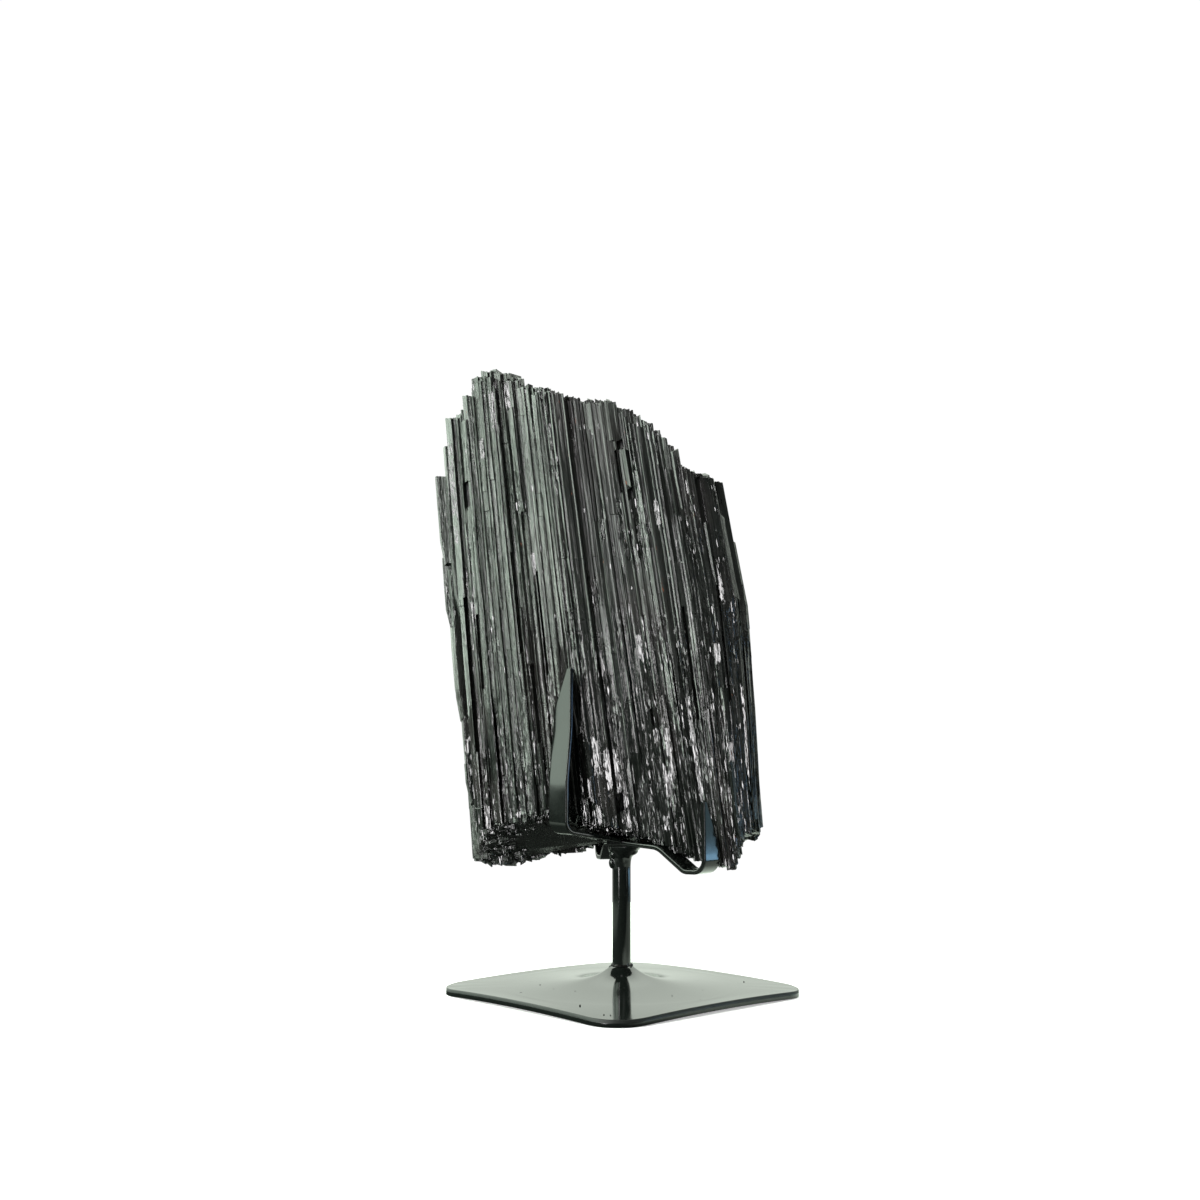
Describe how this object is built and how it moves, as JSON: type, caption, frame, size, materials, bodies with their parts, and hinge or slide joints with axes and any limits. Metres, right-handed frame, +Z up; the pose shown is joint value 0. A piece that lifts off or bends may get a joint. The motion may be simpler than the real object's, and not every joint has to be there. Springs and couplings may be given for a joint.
{
  "type": "black tourmaline on a display stand",
  "caption": "Slab of dark, upright, ribbed crystal columns with a stepped top and a broken lower end, held by bent flat arms on a rod over a square base plate.",
  "frame": {"origin": "middle of the base plate's flat underside, on the surface that it stands on, under the rod", "axes": "+Z up along the rod, -Y towards the front of the stand, +X to the right as seen from the front; the base plate's corners point along X and Y"},
  "size_m": [0.1667, 0.1556, 0.2866],
  "materials": {
    "enamel_plate": "deep gloss black enamel",
    "enamel_rod": "gloss black enamel over rough weld",
    "enamel_arms": "gloss black enamel",
    "tourmaline": "glassy black, finely ribbed along the columns, dull on the break"
  },
  "bodies": {
    "root": {"base_plate": "enamel_plate", "rod": "enamel_rod", "arm_front_left": "enamel_arms", "arm_front_right": "enamel_arms", "arm_back": "enamel_arms", "tourmaline": "tourmaline"}
  },
  "joints": []
}
